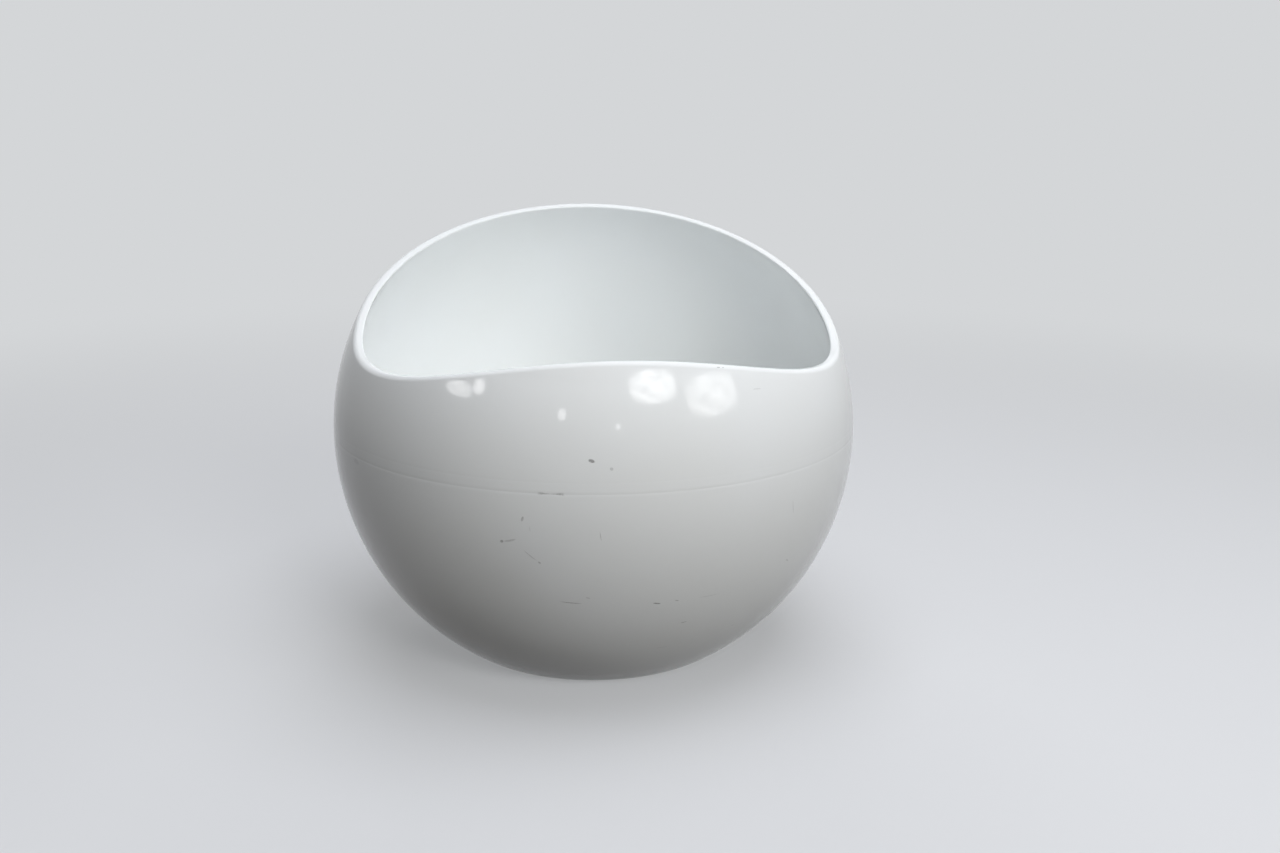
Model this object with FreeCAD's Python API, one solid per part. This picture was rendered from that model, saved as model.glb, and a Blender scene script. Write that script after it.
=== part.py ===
import FreeCAD
import Part
import math
import os

from FreeCAD import Vector

# Ball-shaped lounge chair with a scooped seat, in millimetres.
# +Z is up and the front of the chair faces -Y. The origin is on the floor, straight below the
# middle of the ball, so it is also the middle of the underside of the whole chair.

# Ball and base
ball_radius = 300.0
wall = 4.0
base_opening_radius = 169.5
floor_gap = 3.5

# Rim: in side view a dip at the arms runs into a straight rise to the top of the back
dip_y = -165.0
dip_rise = 97.0
dip_radius = 205.0
rise_angle = 26.6
arc_start_angle = -75.0
lip_thickness = 15.0
lip_flat = 1.0
lip_solid_depth = 10.0

# Scoop: a shallow dished pan, a round blend and the ball-shaped back, on one tilted axis. The
# line where its turned surfaces start and end lies between the ribs, not on one.
seat_tilt = 10.0
pan_dish_radius = 1500.0
pan_blend = 40.0
scoop_start_turn = 45.0
upright_below_dip = 14.0
lip_joint_depth = 20.0
joggle_overlap = 8.0
joggle_thickness = 3.0

# Joint of the two shells, a little above the middle of the ball
joint_rise = 13.0
seam_height = 11.0
seam_depth = 2.0
seam_sink = 0.15
band_height = 50.0
band_thickness = 3.0

# Closing plate and the flange that it screws to
plate_thickness = 12.0
plate_recess = 1.5
plate_clearance = 1.4
plate_edge_chamfer = 1.0
flange_inner_radius = 140.0
flange_thickness = 4.0
flange_screw_count = 6
flange_screw_inset = 10.0
insert_radius = 4.5
insert_height = 12.0
insert_closed_end = 2.0
flange_screw_radius = 2.5
flange_screw_head_radius = 4.75
flange_screw_head_height = 2.7
flange_screw_sink = 1.0
flange_screw_tip_gap = 0.5
socket_radius = 1.5
socket_depth = 1.5
drill_clearance = 0.3
thread_clearance = 0.05

# Ribs under the pan
rib_thickness = 12.0
rib_half_length = 132.0
rib_foot_half_length = 112.0
rib_foot_height = 40.0
halving_clearance = 0.2
pad_thickness = 3.0

# Angle brackets between the ribs and the closing plate
bracket_leg = 30.0
bracket_width = 24.0
bracket_thickness = 2.5
bracket_bend = 4.0
bracket_distance = 80.0
bracket_hole_offset = 18.0
wood_screw_radius = 2.0
wood_screw_head_radius = 4.0
wood_screw_head_height = 2.2
wood_screw_length = 9.0
wood_screw_tip_length = 2.5
wood_screw_tip_radius = 0.4

# Glides
glide_count = 6
glide_radius = 16.0
glide_circle_inset = 24.0
glide_edge_chamfer = 1.5
glide_screw_sink = 1.2
glide_screw_length = 14.0

# How near a point counts as being on a surface, and how far a cutting shape runs past one
near = 0.01
past = 1.0

# Values that follow from the sizes above
centre_height = floor_gap + math.sqrt(ball_radius ** 2 - base_opening_radius ** 2)
centre = Vector(0, 0, centre_height)
inner_radius = ball_radius - lip_thickness
lip_round = (lip_thickness - lip_flat) / 2
joint_height = centre_height + joint_rise
plate_underside = floor_gap + plate_recess
plate_top = plate_underside + plate_thickness
flange_top = plate_top + flange_thickness
shell_inner_at_edge = math.sqrt((ball_radius - wall) ** 2 - (centre_height - floor_gap) ** 2)
plate_radius = shell_inner_at_edge - plate_clearance
reach = 2 * ball_radius


def ball(radius):
    return Part.makeSphere(radius, centre)


def block_above(height):
    return Part.makeBox(2 * reach, 2 * reach, 2 * reach, Vector(-reach, -reach, height))


def block_below(height):
    return Part.makeBox(2 * reach, 2 * reach, 2 * reach, Vector(-reach, -reach, height - 2 * reach))


def cylinder(radius, low, high, x=0.0, y=0.0):
    return Part.makeCylinder(radius, high - low, Vector(x, y, low))


def around(count, radius, turn=0.0):
    """Points spaced evenly on a circle about the vertical axis."""
    points = []
    for i in range(count):
        angle = math.radians(turn + 360.0 * i / count)
        points.append((radius * math.cos(angle), radius * math.sin(angle)))
    return points


def above_rim(drop=0.0):
    """Everything above the rim line, or above a line that runs parallel to it and lower."""
    radius = dip_radius + drop
    middle_z = centre_height + dip_rise + dip_radius

    def on_arc(degrees):
        angle = math.radians(degrees)
        return Vector(-reach, dip_y + radius * math.sin(angle), middle_z - radius * math.cos(angle))

    front = on_arc(arc_start_angle)
    tangent = on_arc(rise_angle)
    slope = math.radians(rise_angle)
    back = tangent + Vector(0, reach * math.cos(slope), reach * math.sin(slope))
    top_z = back.z + reach
    corners = [back, Vector(-reach, back.y, top_z), Vector(-reach, front.y, top_z), front]
    edges = [
        Part.Arc(front, on_arc((rise_angle + arc_start_angle) / 2), tangent).toShape(),
        Part.makeLine(tangent, back),
    ]
    for start, end in zip(corners, corners[1:]):
        edges.append(Part.makeLine(start, end))
    return Part.Face(Part.Wire(edges)).extrude(Vector(2 * reach, 0, 0))


def scoop(grow=0.0):
    """The hollow of the seat as a turned solid, or the same hollow grown by a wall thickness."""
    tilt = math.radians(seat_tilt)
    dip_level = dip_rise * math.cos(tilt) + dip_y * math.sin(tilt)
    blend_top = dip_level - upright_below_dip
    side = math.sqrt(inner_radius ** 2 - blend_top ** 2)
    share = (inner_radius - pan_blend) / inner_radius
    blend_x = side * share
    blend_z = blend_top * share
    dish_z = blend_z + math.sqrt((pan_dish_radius - pan_blend) ** 2 - blend_x ** 2)

    wall_radius = inner_radius + grow
    blend_radius = pan_blend + grow
    dish_radius = pan_dish_radius + grow
    wall_angle = math.atan2(blend_top, side)
    dish_angle = math.atan2(blend_z - dish_z, blend_x)

    def at(x, z, radius, angle):
        return Vector(x + radius * math.cos(angle), 0, z + radius * math.sin(angle))

    pole = Vector(0, 0, wall_radius)
    upper_middle = at(0, 0, wall_radius, (wall_angle + math.pi / 2) / 2)
    wall_end = at(blend_x, blend_z, blend_radius, wall_angle)
    blend_middle = at(blend_x, blend_z, blend_radius, (wall_angle + dish_angle) / 2)
    pan_edge = at(blend_x, blend_z, blend_radius, dish_angle)
    pan_middle = at(0, dish_z, dish_radius, (dish_angle - math.pi / 2) / 2)
    pan_low = Vector(0, 0, dish_z - dish_radius)
    outline = Part.Wire([
        Part.Arc(pole, upper_middle, wall_end).toShape(),
        Part.Arc(wall_end, blend_middle, pan_edge).toShape(),
        Part.Arc(pan_edge, pan_middle, pan_low).toShape(),
        Part.makeLine(pan_low, pole),
    ])
    turned = Part.Face(outline).revolve(Vector(0, 0, 0), Vector(0, 0, 1), 360)
    turned.rotate(Vector(0, 0, 0), Vector(0, 0, 1), scoop_start_turn)
    turned.rotate(Vector(0, 0, 0), Vector(1, 0, 0), -seat_tilt)
    turned.translate(centre)
    return turned


def on_rim(point):
    """Tells whether a point lies on the rim line, seen from the side."""
    slope = math.radians(rise_angle)
    y = point.y - dip_y
    z = point.z - (centre_height + dip_rise + dip_radius)
    below_straight = y * math.sin(slope) - z * math.cos(slope)
    along_straight = y * math.cos(slope) + z * math.sin(slope)
    if along_straight > 0:
        return abs(below_straight - dip_radius) < near
    return abs(math.hypot(y, z) - dip_radius) < near


def rolled_lip(body):
    """Rounds both edges of the cut wall, so that the lip is a full roll."""
    edges = []
    for edge in body.Edges:
        middle = edge.valueAt((edge.FirstParameter + edge.LastParameter) / 2)
        ends = [vertex.Point for vertex in edge.Vertexes]
        if not all(on_rim(point) for point in ends + [middle]):
            continue
        distance = middle.distanceToPoint(centre)
        if min(abs(distance - ball_radius), abs(distance - inner_radius)) < near:
            edges.append(edge)
    return body.makeFillet(lip_round, edges)


def double_wall():
    """Outer ball, rolled lip and scoop in one, as a hollow shell that is open at the base."""
    body = ball(ball_radius).cut(block_below(floor_gap)).cut(above_rim()).cut(scoop())
    hollow = ball(ball_radius - wall).cut(above_rim(lip_solid_depth)).cut(scoop(wall))
    return rolled_lip(body).cut(hollow)


def seat_side():
    """The space inside the outer shells and below the joint under the lip."""
    middle_of_gap = (ball_radius - wall + inner_radius + wall) / 2
    return ball(middle_of_gap).cut(above_rim(lip_joint_depth))


def seam_space():
    """The shallow channel round the ball, half in each shell."""
    ring = ball(ball_radius + past).cut(ball(ball_radius - seam_depth))
    return between(ring, joint_height, seam_height)


def between(ring, middle, tall):
    """The part of a ring that lies within half its height of a level."""
    return ring.cut(block_above(middle + tall / 2)).cut(block_below(middle - tall / 2))


def make_seat_shell(walls):
    main = walls.common(seat_side())
    tab = scoop(wall + joggle_thickness).cut(scoop(wall))
    tab = tab.cut(above_rim(lip_joint_depth - joggle_overlap))
    tab = tab.common(above_rim(lip_joint_depth + joggle_overlap))
    return main.fuse(tab).removeSplitter()


def make_upper_shell(walls):
    dome = walls.cut(seat_side()).cut(block_below(joint_height))
    return dome.cut(seam_space())


def make_lower_shell():
    """A bowl turned from its wall and the flange that turns in at its base."""
    outside = ball_radius
    inside = ball_radius - wall
    groove = ball_radius - seam_depth
    seam_low = joint_height - seam_height / 2
    flange_edge_top = Vector(flange_inner_radius, 0, flange_top)
    flange_edge_bottom = Vector(flange_inner_radius, 0, plate_top)

    def on_ball(radius, z):
        return Vector(math.sqrt(radius ** 2 - (centre_height - z) ** 2), 0, z)

    def arc(radius, start, end):
        middle = on_ball(radius, (start + end) / 2)
        return Part.Arc(on_ball(radius, start), middle, on_ball(radius, end)).toShape()

    outline = Part.Wire([
        arc(outside, floor_gap, seam_low),
        Part.makeLine(on_ball(outside, seam_low), on_ball(groove, seam_low)),
        arc(groove, seam_low, joint_height),
        Part.makeLine(on_ball(groove, joint_height), on_ball(inside, joint_height)),
        arc(inside, joint_height, flange_top),
        Part.makeLine(on_ball(inside, flange_top), flange_edge_top),
        Part.makeLine(flange_edge_top, flange_edge_bottom),
        Part.makeLine(flange_edge_bottom, on_ball(inside, plate_top)),
        arc(inside, plate_top, floor_gap),
        Part.makeLine(on_ball(inside, floor_gap), on_ball(outside, floor_gap)),
    ])
    bowl = Part.Face(outline).revolve(Vector(0, 0, 0), Vector(0, 0, 1), 360)
    for x, y in flange_screw_places():
        bowl = bowl.cut(cylinder(insert_radius, plate_top - past, flange_top + past, x, y))
    return bowl


def flange_screw_places():
    turn = 180.0 / flange_screw_count
    return around(flange_screw_count, plate_radius - flange_screw_inset, turn)


def make_seam_filler():
    return seam_space().common(ball(ball_radius - seam_sink))


def make_joint_band():
    inside = ball_radius - wall
    return between(ball(inside).cut(ball(inside - band_thickness)), joint_height, band_height)


def make_base_plate():
    plate = cylinder(plate_radius, plate_underside, plate_top)
    plate = plate.makeChamfer(plate_edge_chamfer, [e for e in plate.Edges if e.Closed])
    seat = plate_underside + flange_screw_sink + flange_screw_head_height
    for x, y in flange_screw_places():
        plate = plate.cut(cylinder(flange_screw_radius + drill_clearance, 0, plate_top + past, x, y))
        plate = plate.cut(cylinder(flange_screw_head_radius + drill_clearance, 0, seat, x, y))
    for x, y in glide_places():
        plate = plate.cut(cylinder(wood_screw_radius + thread_clearance, 0, glide_screw_top(), x, y))
    for x, y in bracket_screw_places():
        low = plate_top - wood_screw_length + bracket_thickness
        plate = plate.cut(cylinder(wood_screw_radius + thread_clearance, low, plate_top + past, x, y))
    return plate


def glide_places():
    return around(glide_count, plate_radius - glide_circle_inset)


def glide_screw_top():
    return glide_screw_sink + glide_screw_length


def make_base_inserts():
    inserts = []
    for x, y in flange_screw_places():
        insert = cylinder(insert_radius, plate_top, plate_top + insert_height, x, y)
        bore = cylinder(flange_screw_radius + thread_clearance, plate_top - past, bore_end(), x, y)
        inserts.append(insert.cut(bore))
    return Part.makeCompound(inserts)


def bore_end():
    return plate_top + insert_height - insert_closed_end


def make_base_screws():
    screws = []
    low = plate_underside + flange_screw_sink
    for x, y in flange_screw_places():
        head = cylinder(flange_screw_head_radius, low, low + flange_screw_head_height, x, y)
        head = head.cut(cylinder(socket_radius, low - past, low + socket_depth, x, y))
        shank_low = low + flange_screw_head_height
        shank = cylinder(flange_screw_radius, shank_low, bore_end() - flange_screw_tip_gap, x, y)
        screws.append(head.fuse(shank).removeSplitter())
    return Part.makeCompound(screws)


def rib_outline():
    """Side of a rib before the pan is cut out of it: a narrow foot that slopes out to full length."""
    top = centre_height
    half = rib_half_length
    foot = rib_foot_half_length
    knee = plate_top + rib_foot_height
    points = [
        Vector(-foot, 0, plate_top),
        Vector(foot, 0, plate_top),
        Vector(half, 0, knee),
        Vector(half, 0, top + half),
        Vector(-half, 0, top + half),
        Vector(-half, 0, knee),
    ]
    return Part.Face(Part.makePolygon(points + points[:1]))


def rib_blank():
    blank = rib_outline().extrude(Vector(0, rib_thickness, 0))
    blank.translate(Vector(0, -rib_thickness / 2, 0))
    return blank


def turned_quarter(shape):
    turned = shape.copy()
    turned.rotate(Vector(0, 0, 0), Vector(0, 0, 1), 90)
    return turned


def halving_height():
    """Half way up the ribs where they cross."""
    crossing = Part.makeLine(Vector(0, 0, plate_top), Vector(0, 0, centre_height))
    rib_top = crossing.cut(scoop(wall + pad_thickness)).BoundBox.ZMax
    return (plate_top + rib_top) / 2


def halving_slot(low, high):
    wide = rib_thickness + 2 * halving_clearance
    return Part.makeBox(wide, 2 * rib_thickness, high - low, Vector(-wide / 2, -rib_thickness, low))


def make_rib_left_right():
    rib = rib_blank().cut(scoop(wall + pad_thickness))
    rib = rib.cut(halving_slot(plate_top - past, halving_height() + halving_clearance / 2))
    return drill_rib(rib, left_right=True)


def make_rib_front_back():
    rib = rib_blank()
    rib = rib.cut(halving_slot(halving_height() - halving_clearance / 2, centre_height + reach))
    rib = turned_quarter(rib).cut(scoop(wall + pad_thickness))
    return drill_rib(rib, left_right=False)


def make_rib_pads():
    """One strip along the front-to-back rib and one each side of it, with the halving's clearance."""
    layer = scoop(wall + pad_thickness).cut(scoop(wall))
    strip = turned_quarter(rib_blank())
    sides = layer.common(rib_blank()).cut(widened(strip))
    return Part.makeCompound(layer.common(strip).Solids + sides.Solids)


def widened(strip):
    box = strip.BoundBox
    wide = rib_thickness + 2 * halving_clearance
    return Part.makeBox(wide, box.YLength, box.ZLength, Vector(-wide / 2, box.YMin, box.ZMin))


def bracket():
    """One angle bracket in the XZ plane, its upright leg flat against X = 0."""
    leg = bracket_leg
    thick = bracket_thickness
    points = [
        Vector(0, 0, 0),
        Vector(leg, 0, 0),
        Vector(leg, 0, thick),
        Vector(thick, 0, thick),
        Vector(thick, 0, leg),
        Vector(0, 0, leg),
    ]
    face = Part.Face(Part.makePolygon(points + points[:1]))
    solid = face.extrude(Vector(0, bracket_width, 0))
    solid.translate(Vector(0, -bracket_width / 2, 0))
    inner = [e for e in solid.Edges if near_line(e, thick, thick)]
    solid = solid.makeFillet(bracket_bend - thick, inner)
    outer = [e for e in solid.Edges if near_line(e, 0, 0)]
    solid = solid.makeFillet(bracket_bend, outer)
    bore = wood_screw_radius + drill_clearance
    solid = solid.cut(Part.makeCylinder(bore, 2 * thick, Vector(bracket_hole_offset, 0, -thick / 2)))
    return solid.cut(Part.makeCylinder(
        bore, 2 * thick, Vector(-thick / 2, 0, bracket_hole_offset), Vector(1, 0, 0)))


def near_line(edge, x, z):
    return all(abs(v.X - x) < near and abs(v.Z - z) < near for v in edge.Vertexes)


def bracket_screws():
    """The two screws of one bracket, with their heads on its faces."""
    shank_end = wood_screw_tip_length - wood_screw_length
    head = cylinder(wood_screw_head_radius, 0, wood_screw_head_height)
    shank = cylinder(wood_screw_radius, shank_end, 0)
    point = Vector(0, 0, -wood_screw_length)
    tip = Part.makeCone(wood_screw_tip_radius, wood_screw_radius, wood_screw_tip_length, point)
    downward = head.fuse(shank).fuse(tip).removeSplitter()
    sideways = downward.copy()
    sideways.rotate(Vector(0, 0, 0), Vector(0, 1, 0), 90)
    sideways.translate(Vector(bracket_thickness, 0, bracket_hole_offset))
    downward.translate(Vector(bracket_hole_offset, 0, bracket_thickness))
    return [downward, sideways]


def place_on_rib(shape, quarter):
    """Moves a bracket or its screws to one of the four arms of the crossed ribs."""
    placed = shape.copy()
    placed.translate(Vector(rib_thickness / 2, bracket_distance, plate_top))
    placed.rotate(Vector(0, 0, 0), Vector(0, 0, 1), 90 * quarter)
    return placed


def bracket_screw_places():
    x = rib_thickness / 2 + bracket_hole_offset
    y = bracket_distance
    return [(x, y), (-y, x), (-x, -y), (y, -x)]


def drill_rib(rib, left_right):
    z = plate_top + bracket_hole_offset
    for quarter in range(4):
        if (quarter % 2 == 1) != left_right:
            continue
        depth = wood_screw_length - bracket_thickness
        hole = Part.makeCylinder(
            wood_screw_radius + thread_clearance, depth + past,
            Vector(rib_thickness / 2 + past, bracket_distance, z), Vector(-1, 0, 0))
        hole.rotate(Vector(0, 0, 0), Vector(0, 0, 1), 90 * quarter)
        rib = rib.cut(hole)
    return rib


def make_rib_brackets():
    return Part.makeCompound([place_on_rib(bracket(), quarter) for quarter in range(4)])


def make_bracket_screws():
    pair = bracket_screws()
    return Part.makeCompound([place_on_rib(screw, quarter) for quarter in range(4) for screw in pair])


def glide_screw(x, y):
    low = glide_screw_sink
    head_height = wood_screw_head_radius - wood_screw_radius
    shank_top = glide_screw_top() - wood_screw_tip_length
    head = Part.makeCone(wood_screw_head_radius, wood_screw_radius, head_height, Vector(x, y, low))
    shank = cylinder(wood_screw_radius, low + head_height, shank_top, x, y)
    point = Vector(x, y, shank_top)
    tip = Part.makeCone(wood_screw_radius, wood_screw_tip_radius, wood_screw_tip_length, point)
    return head.fuse(shank).fuse(tip).removeSplitter()


def make_glides():
    glides = []
    for x, y in glide_places():
        glide = cylinder(glide_radius, 0, plate_underside, x, y)
        lower = min((e for e in glide.Edges if e.Closed), key=lambda e: e.BoundBox.ZMin)
        glide = glide.makeChamfer(glide_edge_chamfer, [lower])
        well = cylinder(wood_screw_head_radius + drill_clearance, -past, glide_screw_sink, x, y)
        cone = Part.makeCone(
            wood_screw_head_radius + drill_clearance, wood_screw_radius + drill_clearance,
            wood_screw_head_radius - wood_screw_radius, Vector(x, y, glide_screw_sink))
        bore = cylinder(wood_screw_radius + drill_clearance, 0, plate_underside + past, x, y)
        glides.append(glide.cut(well).cut(cone).cut(bore))
    return Part.makeCompound(glides)


def make_glide_screws():
    return Part.makeCompound([glide_screw(x, y) for x, y in glide_places()])


def main():
    walls = double_wall()
    pieces = {
        "lower_shell": make_lower_shell(),
        "upper_shell": make_upper_shell(walls),
        "seat_shell": make_seat_shell(walls),
        "seam_filler": make_seam_filler(),
        "joint_band": make_joint_band(),
        "base_plate": make_base_plate(),
        "base_inserts": make_base_inserts(),
        "base_screws": make_base_screws(),
        "rib_left_right": make_rib_left_right(),
        "rib_front_back": make_rib_front_back(),
        "rib_pads": make_rib_pads(),
        "rib_brackets": make_rib_brackets(),
        "bracket_screws": make_bracket_screws(),
        "glides": make_glides(),
        "glide_screws": make_glide_screws(),
    }
    os.makedirs("parts", exist_ok=True)
    for name, shape in pieces.items():
        box = shape.BoundBox
        print(name, len(shape.Solids), "solids", shape.isValid(), round(shape.Volume / 1000, 2), "cm3",
              "z", round(box.ZMin, 2), round(box.ZMax, 2), "x", round(box.XMin, 1), round(box.XMax, 1))
        shape.exportStep("parts/" + name + ".step")


main()
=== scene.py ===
import math
from types import SimpleNamespace

import bmesh
import bpy
from bpy.props import FloatProperty, FloatVectorProperty, PointerProperty
from mathutils import Matrix, Vector


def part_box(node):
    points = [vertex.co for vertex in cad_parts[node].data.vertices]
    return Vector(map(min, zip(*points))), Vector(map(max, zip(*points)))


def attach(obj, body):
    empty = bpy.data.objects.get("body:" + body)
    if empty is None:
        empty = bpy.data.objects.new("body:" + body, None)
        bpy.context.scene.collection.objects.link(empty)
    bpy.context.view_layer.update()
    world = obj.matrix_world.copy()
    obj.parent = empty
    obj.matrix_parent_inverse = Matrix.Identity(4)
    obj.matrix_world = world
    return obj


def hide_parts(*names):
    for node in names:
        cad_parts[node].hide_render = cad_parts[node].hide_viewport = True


bl_info = {
    "name": "Ball lounge chair",
    "version": (1, 0, 0),
    "blender": (4, 5, 0),
    "location": "View3D > Sidebar > Ball chair",
    "description": "Lacquered shells, seat and underside of a ball-shaped lounge chair",
    "category": "Object",
}

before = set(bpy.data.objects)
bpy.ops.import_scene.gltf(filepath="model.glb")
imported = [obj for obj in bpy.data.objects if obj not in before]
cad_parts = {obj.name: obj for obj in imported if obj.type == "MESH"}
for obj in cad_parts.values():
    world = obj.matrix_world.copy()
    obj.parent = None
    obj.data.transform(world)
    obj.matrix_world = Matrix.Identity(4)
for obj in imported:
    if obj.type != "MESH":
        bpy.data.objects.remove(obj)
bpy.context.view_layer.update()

FRONT = -math.pi / 2
TURN_STEPS = 360
SCREW_STEPS = 48
HALVINGS = 40
# In metres: points this close are merged, and a ring's points lie this close to it.
MERGE_DISTANCE = 1e-6
SAME_PLACE = 1e-5
# In metres: the short row on each side of the lip's joint, and what a bend adds to the run of its arc.
EDGE_TRIM = 0.0006
BEND_EXTRA = 0.06
# The rows of a screw's outline that form its hexagon socket, and the mark of a straight leg.
HEXAGON_ROWS = (1, 2)
STRAIGHT = None


# Sizes and colours

def srgb(text):
    """A hex colour as the linear values that shaders use."""
    channels = [int(text[i:i + 2], 16) / 255 for i in (1, 3, 5)]
    linear = [c / 12.92 if c <= 0.04045 else ((c + 0.055) / 1.055) ** 2.4 for c in channels]
    return (*linear, 1.0)


def length(name, description, value):
    return FloatProperty(name=name, description=description, default=value, unit="LENGTH", precision=4)


def angle(name, description, degrees):
    return FloatProperty(name=name, description=description, default=math.radians(degrees), unit="ROTATION")


def strength(name, description, value):
    return FloatProperty(name=name, description=description, default=value, min=0)


def colour(name, description, text):
    return FloatVectorProperty(
        name=name, description=description, default=srgb(text), size=4, subtype="COLOR", min=0, max=1)


class ChairSizes(bpy.types.PropertyGroup):
    ball_radius: length("Ball radius", "Radius of the outer ball", 0.300)
    base_radius: length("Base opening", "Radius where the ball is cut at the floor", 0.1695)
    floor_gap: length("Floor gap", "Height of the shell's edge above the floor", 0.0035)
    wall: length("Outer wall", "Thickness of the two outer shells", 0.004)
    seat_wall: length("Seat wall", "Thickness of the seat shell", 0.003)
    lip_thickness: length("Lip thickness", "Thickness of the lip", 0.009)
    lip_outer_round: length("Outer rounding", "Radius that rolls the lip over to the outside", 0.0066)
    lip_inner_round: length("Inner rounding", "Small radius along the lip's inner edge", 0.0015)
    lip_solid_depth: length("Solid lip", "How far the lip is solid below the rim", 0.010)
    dip_y: length("Dip place", "Place of the arms' dip, front to back", -0.1595)
    dip_rise: length("Dip height", "Height of the dip above the ball's middle", 0.0995)
    dip_radius: length("Dip radius", "Radius of the rim's curve in side view", 0.205)
    rise_angle: angle("Rim rise", "Slope of the rim towards the back", 27.0)
    seat_tilt: angle("Seat tilt", "How far the seat leans back", 10.0)
    pan_dish_radius: length("Pan dish", "Radius of the dished pan", 1.5)
    pan_blend: length("Pan blend", "Radius between the pan and the back", 0.040)
    upright_below_dip: length("Upright", "How far the wall runs straight on below the dip", 0.0176)
    lip_joint_depth: length("Lip joint", "Depth of the bonded joint below the rim", 0.020)
    joggle_overlap: length("Joggle", "How far the joggled edge passes the joint", 0.008)
    joggle_thickness: length("Joggle thickness", "Thickness of the joggled edge", 0.0015)
    joint_rise: length("Joint height", "Height of the joint above the ball's middle", 0.013)
    seam_height: length("Filled band", "Height of the filled band", 0.011)
    seam_depth: length("Filled depth", "Depth of the filled band", 0.002)
    band_height: length("Joint band", "Height of the strip bonded behind the joint", 0.050)
    band_thickness: length("Joint band thickness", "Thickness of the strip behind the joint", 0.0015)
    line_reach: length("Line width", "How far the lacquer dips beside the band's edges", 0.003)
    lower_line: length("Lower line", "Depth of the dip along the band's lower edge", 0.00014)
    upper_line: length("Upper line", "Depth of the dip along the band's upper edge", 0.00005)
    flange_radius: length("Flange", "Inner radius of the flange at the base", 0.140)
    foot_round: length("Foot rounding", "Rounding of the shell's edge at the floor", 0.0008)


class ChairColours(bpy.types.PropertyGroup):
    lacquer: colour("Lacquer", "Cool white of the lacquered shells", "#F1F4F5")
    aged_lacquer: colour("Aged lacquer", "Slightly warmer patches of the same lacquer", "#ECEEEC")
    scuff: colour("Scuffs", "Dirt in scratches and knocks", "#4A4642")
    laminate: colour("Laminate", "Bare glass-fibre laminate inside the shells", "#B9B59A")
    laminate_strand: colour("Strands", "Paler strands in the laminate", "#D2CFBA")
    birch: colour("Birch veneer", "Sanded face veneer", "#D8BE94")
    birch_grain: colour("Birch grain", "Darker growth lines of the veneer", "#BD9A68")
    birch_edge: colour("Birch edge", "End-grain plies on the cut edge", "#A67C4C")
    felt: colour("Felt", "Pressed wool felt", "#38383A")
    zinc: colour("Zinc", "Bright zinc plating", "#C9CCCF")
    zinc_tint: colour("Zinc tint", "Warmer patches of the plating", "#C8C2A8")
    brass: colour("Brass", "Turned brass", "#D8B56A")
    nylon: colour("Nylon", "Moulded nylon of the glides", "#232426")
    nylon_worn: colour("Worn nylon", "Scratched underside of the glides", "#55575A")


class StudioSettings(bpy.types.PropertyGroup):
    floor: colour("Floor", "Pale floor", "#DADBDD")
    backdrop: colour("Backdrop", "Pale wall round the floor", "#D4D6D8")
    floor_bounce: colour("Floor bounce", "What the floor sends back to the chair", "#38332D")
    daylight: colour("Daylight", "Tint of the soft light", "#FFFFFF")
    skylight: colour("Skylight", "Tint of the light from above", "#F6F8FF")
    ambient: strength("Ambient", "Strength of the light from all round", 0.08)
    windows: strength("Windows", "Power of the main mirrored window", 12.5)
    fill: strength("Fill", "Power of the soft box in front on the right", 20.0)
    overhead: strength("Overhead", "Power of the soft box above", 64.0)
    front: strength("Front", "Power of the soft box high in front", 14.0)
    behind: strength("Behind", "Power of the soft box behind", 42.0)


def chair_shape():
    """The chair's sizes in metres, with the values that follow from them."""
    group = bpy.context.scene.chair_sizes
    names = [p.identifier for p in group.bl_rna.properties if p.identifier not in ("rna_type", "name")]
    s = SimpleNamespace(**{name: getattr(group, name) for name in names})
    s.centre = Vector((0, 0, s.floor_gap + math.sqrt(s.ball_radius ** 2 - s.base_radius ** 2)))
    s.axis = Vector((0, math.sin(s.seat_tilt), math.cos(s.seat_tilt)))
    s.aside = Vector((0, math.cos(s.seat_tilt), -math.sin(s.seat_tilt)))
    s.inner_radius = s.ball_radius - s.lip_thickness
    s.joint_height = s.centre.z + s.joint_rise
    s.band_low = s.joint_height - s.seam_height / 2
    s.band_high = s.joint_height + s.seam_height / 2
    s.plate_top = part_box("base_plate")[1][2]
    s.hollow_arcs = hollow_arcs(s)
    return s


# The chair's surfaces

def rim_depth(s, point):
    """How far a point lies below the rim in side view: an arc that dips at the arms, then a straight."""
    y = point.y - s.dip_y
    z = point.z - s.centre.z - s.dip_rise - s.dip_radius
    if y * math.cos(s.rise_angle) + z * math.sin(s.rise_angle) > 0:
        return y * math.sin(s.rise_angle) - z * math.cos(s.rise_angle) - s.dip_radius
    return math.hypot(y, z) - s.dip_radius


def crossing(value, start, end):
    """Where a value changes sign between two places."""
    rising = value(start) < 0
    for _ in range(HALVINGS):
        middle = (start + end) / 2
        if (value(middle) < 0) == rising:
            start = middle
        else:
            end = middle
    return (start + end) / 2


def on_ball(s, radius, latitude, turn):
    """A point of a ball about the chair's middle, by latitude and turn about the vertical."""
    flat = radius * math.cos(latitude)
    return s.centre + Vector((flat * math.cos(turn), flat * math.sin(turn), radius * math.sin(latitude)))


def latitude_at(s, radius, height):
    return math.asin((height - s.centre.z) / radius)


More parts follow.
